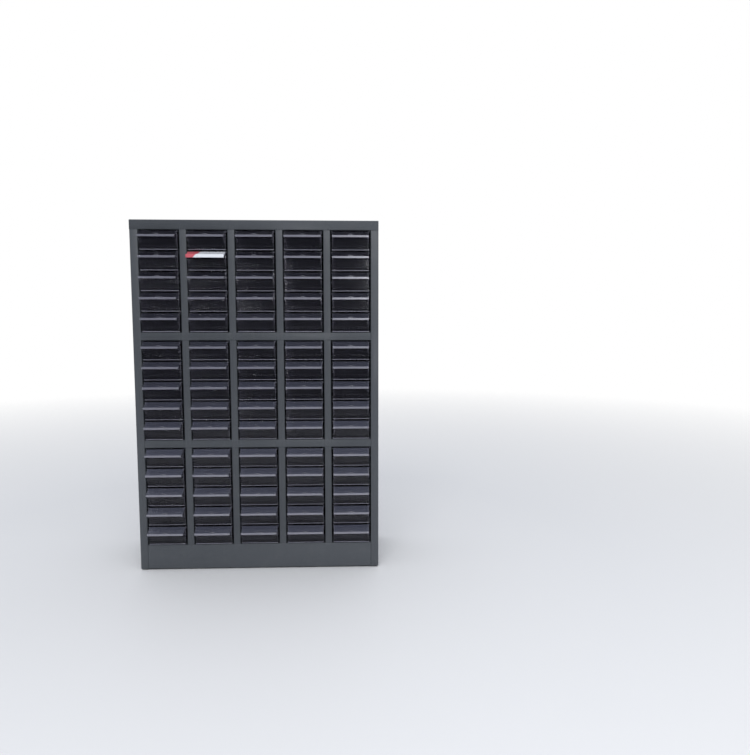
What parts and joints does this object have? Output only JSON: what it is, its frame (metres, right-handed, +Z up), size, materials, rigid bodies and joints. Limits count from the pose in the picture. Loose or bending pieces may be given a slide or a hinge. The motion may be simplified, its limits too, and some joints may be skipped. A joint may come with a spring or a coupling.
{
  "type": "parts organizer cabinet",
  "caption": "Free-standing sheet-steel cabinet with a flush front frame and banks of clear plastic drawers with sloped handles that slide out forwards.",
  "frame": {"origin": "on the floor, at the centre of the overall footprint with the drawer handles included", "axes": "+Z up, +X to the right as seen from the front, drawers slide out towards -Y"},
  "size_m": [0.586, 0.2434, 0.85],
  "materials": {
    "powder_coated_steel": "satin powder coat, dark blue-grey",
    "clear_plastic": "clear moulded styrene, slightly smoky",
    "black_plastic": "black moulded plastic",
    "rivet_aluminium": "dull blind rivet",
    "label_paper": "card, white with a red band at one end"
  },
  "bodies": {
    "case": {"side_panel_left": "powder_coated_steel", "side_panel_right": "powder_coated_steel", "top_panel": "powder_coated_steel", "bottom_panel": "powder_coated_steel", "back_panel": "powder_coated_steel", "base_plinth": "powder_coated_steel", "middle_rails": "powder_coated_steel", "mullions": "powder_coated_steel", "runner_plates_left": "powder_coated_steel", "runner_plates_right": "powder_coated_steel", "glide_feet": "black_plastic", "back_panel_rivets": "rivet_aluminium"},
    "drawer_r01_c1": {"drawer_r01_c1": "clear_plastic"},
    "drawer_r01_c2": {"drawer_r01_c2": "clear_plastic"},
    "drawer_r01_c3": {"drawer_r01_c3": "clear_plastic"},
    "drawer_r01_c4": {"drawer_r01_c4": "clear_plastic"},
    "drawer_r01_c5": {"drawer_r01_c5": "clear_plastic"},
    "drawer_r02_c1": {"drawer_r02_c1": "clear_plastic"},
    "drawer_r02_c2": {"drawer_r02_c2": "clear_plastic", "label_card": "label_paper"},
    "drawer_r02_c3": {"drawer_r02_c3": "clear_plastic"},
    "drawer_r02_c4": {"drawer_r02_c4": "clear_plastic"},
    "drawer_r02_c5": {"drawer_r02_c5": "clear_plastic"},
    "drawer_r03_c1": {"drawer_r03_c1": "clear_plastic"},
    "drawer_r03_c2": {"drawer_r03_c2": "clear_plastic"},
    "drawer_r03_c3": {"drawer_r03_c3": "clear_plastic"},
    "drawer_r03_c4": {"drawer_r03_c4": "clear_plastic"},
    "drawer_r03_c5": {"drawer_r03_c5": "clear_plastic"},
    "drawer_r04_c1": {"drawer_r04_c1": "clear_plastic"},
    "drawer_r04_c2": {"drawer_r04_c2": "clear_plastic"},
    "drawer_r04_c3": {"drawer_r04_c3": "clear_plastic"},
    "drawer_r04_c4": {"drawer_r04_c4": "clear_plastic"},
    "drawer_r04_c5": {"drawer_r04_c5": "clear_plastic"},
    "drawer_r05_c1": {"drawer_r05_c1": "clear_plastic"},
    "drawer_r05_c2": {"drawer_r05_c2": "clear_plastic"},
    "drawer_r05_c3": {"drawer_r05_c3": "clear_plastic"},
    "drawer_r05_c4": {"drawer_r05_c4": "clear_plastic"},
    "drawer_r05_c5": {"drawer_r05_c5": "clear_plastic"},
    "drawer_r06_c1": {"drawer_r06_c1": "clear_plastic"},
    "drawer_r06_c2": {"drawer_r06_c2": "clear_plastic"},
    "drawer_r06_c3": {"drawer_r06_c3": "clear_plastic"},
    "drawer_r06_c4": {"drawer_r06_c4": "clear_plastic"},
    "drawer_r06_c5": {"drawer_r06_c5": "clear_plastic"},
    "drawer_r07_c1": {"drawer_r07_c1": "clear_plastic"},
    "drawer_r07_c2": {"drawer_r07_c2": "clear_plastic"},
    "drawer_r07_c3": {"drawer_r07_c3": "clear_plastic"},
    "drawer_r07_c4": {"drawer_r07_c4": "clear_plastic"},
    "drawer_r07_c5": {"drawer_r07_c5": "clear_plastic"},
    "drawer_r08_c1": {"drawer_r08_c1": "clear_plastic"},
    "drawer_r08_c2": {"drawer_r08_c2": "clear_plastic"},
    "drawer_r08_c3": {"drawer_r08_c3": "clear_plastic"},
    "drawer_r08_c4": {"drawer_r08_c4": "clear_plastic"},
    "drawer_r08_c5": {"drawer_r08_c5": "clear_plastic"},
    "drawers_row_09": {"drawers_row_09": "clear_plastic"},
    "drawers_row_10": {"drawers_row_10": "clear_plastic"},
    "drawers_row_11": {"drawers_row_11": "clear_plastic"},
    "drawers_row_12": {"drawers_row_12": "clear_plastic"},
    "drawers_row_13": {"drawers_row_13": "clear_plastic"},
    "drawers_row_14": {"drawers_row_14": "clear_plastic"},
    "drawers_row_15": {"drawers_row_15": "clear_plastic"}
  },
  "joints": [
    {"name": "slide_r01_c1", "type": "slide", "parent": "case", "child": "drawer_r01_c1", "axis": [0, -1, 0], "range_m": [0, 0.16]},
    {"name": "slide_r01_c2", "type": "slide", "parent": "case", "child": "drawer_r01_c2", "axis": [0, -1, 0], "range_m": [0, 0.16]},
    {"name": "slide_r01_c3", "type": "slide", "parent": "case", "child": "drawer_r01_c3", "axis": [0, -1, 0], "range_m": [0, 0.16]},
    {"name": "slide_r01_c4", "type": "slide", "parent": "case", "child": "drawer_r01_c4", "axis": [0, -1, 0], "range_m": [0, 0.16]},
    {"name": "slide_r01_c5", "type": "slide", "parent": "case", "child": "drawer_r01_c5", "axis": [0, -1, 0], "range_m": [0, 0.16]},
    {"name": "slide_r02_c1", "type": "slide", "parent": "case", "child": "drawer_r02_c1", "axis": [0, -1, 0], "range_m": [0, 0.16]},
    {"name": "slide_r02_c2", "type": "slide", "parent": "case", "child": "drawer_r02_c2", "axis": [0, -1, 0], "range_m": [0, 0.16]},
    {"name": "slide_r02_c3", "type": "slide", "parent": "case", "child": "drawer_r02_c3", "axis": [0, -1, 0], "range_m": [0, 0.16]},
    {"name": "slide_r02_c4", "type": "slide", "parent": "case", "child": "drawer_r02_c4", "axis": [0, -1, 0], "range_m": [0, 0.16]},
    {"name": "slide_r02_c5", "type": "slide", "parent": "case", "child": "drawer_r02_c5", "axis": [0, -1, 0], "range_m": [0, 0.16]},
    {"name": "slide_r03_c1", "type": "slide", "parent": "case", "child": "drawer_r03_c1", "axis": [0, -1, 0], "range_m": [0, 0.16]},
    {"name": "slide_r03_c2", "type": "slide", "parent": "case", "child": "drawer_r03_c2", "axis": [0, -1, 0], "range_m": [0, 0.16]},
    {"name": "slide_r03_c3", "type": "slide", "parent": "case", "child": "drawer_r03_c3", "axis": [0, -1, 0], "range_m": [0, 0.16]},
    {"name": "slide_r03_c4", "type": "slide", "parent": "case", "child": "drawer_r03_c4", "axis": [0, -1, 0], "range_m": [0, 0.16]},
    {"name": "slide_r03_c5", "type": "slide", "parent": "case", "child": "drawer_r03_c5", "axis": [0, -1, 0], "range_m": [0, 0.16]},
    {"name": "slide_r04_c1", "type": "slide", "parent": "case", "child": "drawer_r04_c1", "axis": [0, -1, 0], "range_m": [0, 0.16]},
    {"name": "slide_r04_c2", "type": "slide", "parent": "case", "child": "drawer_r04_c2", "axis": [0, -1, 0], "range_m": [0, 0.16]},
    {"name": "slide_r04_c3", "type": "slide", "parent": "case", "child": "drawer_r04_c3", "axis": [0, -1, 0], "range_m": [0, 0.16]},
    {"name": "slide_r04_c4", "type": "slide", "parent": "case", "child": "drawer_r04_c4", "axis": [0, -1, 0], "range_m": [0, 0.16]},
    {"name": "slide_r04_c5", "type": "slide", "parent": "case", "child": "drawer_r04_c5", "axis": [0, -1, 0], "range_m": [0, 0.16]},
    {"name": "slide_r05_c1", "type": "slide", "parent": "case", "child": "drawer_r05_c1", "axis": [0, -1, 0], "range_m": [0, 0.16]},
    {"name": "slide_r05_c2", "type": "slide", "parent": "case", "child": "drawer_r05_c2", "axis": [0, -1, 0], "range_m": [0, 0.16]},
    {"name": "slide_r05_c3", "type": "slide", "parent": "case", "child": "drawer_r05_c3", "axis": [0, -1, 0], "range_m": [0, 0.16]},
    {"name": "slide_r05_c4", "type": "slide", "parent": "case", "child": "drawer_r05_c4", "axis": [0, -1, 0], "range_m": [0, 0.16]},
    {"name": "slide_r05_c5", "type": "slide", "parent": "case", "child": "drawer_r05_c5", "axis": [0, -1, 0], "range_m": [0, 0.16]},
    {"name": "slide_r06_c1", "type": "slide", "parent": "case", "child": "drawer_r06_c1", "axis": [0, -1, 0], "range_m": [0, 0.16]},
    {"name": "slide_r06_c2", "type": "slide", "parent": "case", "child": "drawer_r06_c2", "axis": [0, -1, 0], "range_m": [0, 0.16]},
    {"name": "slide_r06_c3", "type": "slide", "parent": "case", "child": "drawer_r06_c3", "axis": [0, -1, 0], "range_m": [0, 0.16]},
    {"name": "slide_r06_c4", "type": "slide", "parent": "case", "child": "drawer_r06_c4", "axis": [0, -1, 0], "range_m": [0, 0.16]},
    {"name": "slide_r06_c5", "type": "slide", "parent": "case", "child": "drawer_r06_c5", "axis": [0, -1, 0], "range_m": [0, 0.16]},
    {"name": "slide_r07_c1", "type": "slide", "parent": "case", "child": "drawer_r07_c1", "axis": [0, -1, 0], "range_m": [0, 0.16]},
    {"name": "slide_r07_c2", "type": "slide", "parent": "case", "child": "drawer_r07_c2", "axis": [0, -1, 0], "range_m": [0, 0.16]},
    {"name": "slide_r07_c3", "type": "slide", "parent": "case", "child": "drawer_r07_c3", "axis": [0, -1, 0], "range_m": [0, 0.16]},
    {"name": "slide_r07_c4", "type": "slide", "parent": "case", "child": "drawer_r07_c4", "axis": [0, -1, 0], "range_m": [0, 0.16]},
    {"name": "slide_r07_c5", "type": "slide", "parent": "case", "child": "drawer_r07_c5", "axis": [0, -1, 0], "range_m": [0, 0.16]},
    {"name": "slide_r08_c1", "type": "slide", "parent": "case", "child": "drawer_r08_c1", "axis": [0, -1, 0], "range_m": [0, 0.16]},
    {"name": "slide_r08_c2", "type": "slide", "parent": "case", "child": "drawer_r08_c2", "axis": [0, -1, 0], "range_m": [0, 0.16]},
    {"name": "slide_r08_c3", "type": "slide", "parent": "case", "child": "drawer_r08_c3", "axis": [0, -1, 0], "range_m": [0, 0.16]},
    {"name": "slide_r08_c4", "type": "slide", "parent": "case", "child": "drawer_r08_c4", "axis": [0, -1, 0], "range_m": [0, 0.16]},
    {"name": "slide_r08_c5", "type": "slide", "parent": "case", "child": "drawer_r08_c5", "axis": [0, -1, 0], "range_m": [0, 0.16]},
    {"name": "slide_row_09", "type": "slide", "parent": "case", "child": "drawers_row_09", "axis": [0, -1, 0], "range_m": [0, 0.16]},
    {"name": "slide_row_10", "type": "slide", "parent": "case", "child": "drawers_row_10", "axis": [0, -1, 0], "range_m": [0, 0.16]},
    {"name": "slide_row_11", "type": "slide", "parent": "case", "child": "drawers_row_11", "axis": [0, -1, 0], "range_m": [0, 0.16]},
    {"name": "slide_row_12", "type": "slide", "parent": "case", "child": "drawers_row_12", "axis": [0, -1, 0], "range_m": [0, 0.16]},
    {"name": "slide_row_13", "type": "slide", "parent": "case", "child": "drawers_row_13", "axis": [0, -1, 0], "range_m": [0, 0.16]},
    {"name": "slide_row_14", "type": "slide", "parent": "case", "child": "drawers_row_14", "axis": [0, -1, 0], "range_m": [0, 0.16]},
    {"name": "slide_row_15", "type": "slide", "parent": "case", "child": "drawers_row_15", "axis": [0, -1, 0], "range_m": [0, 0.16]}
  ]
}
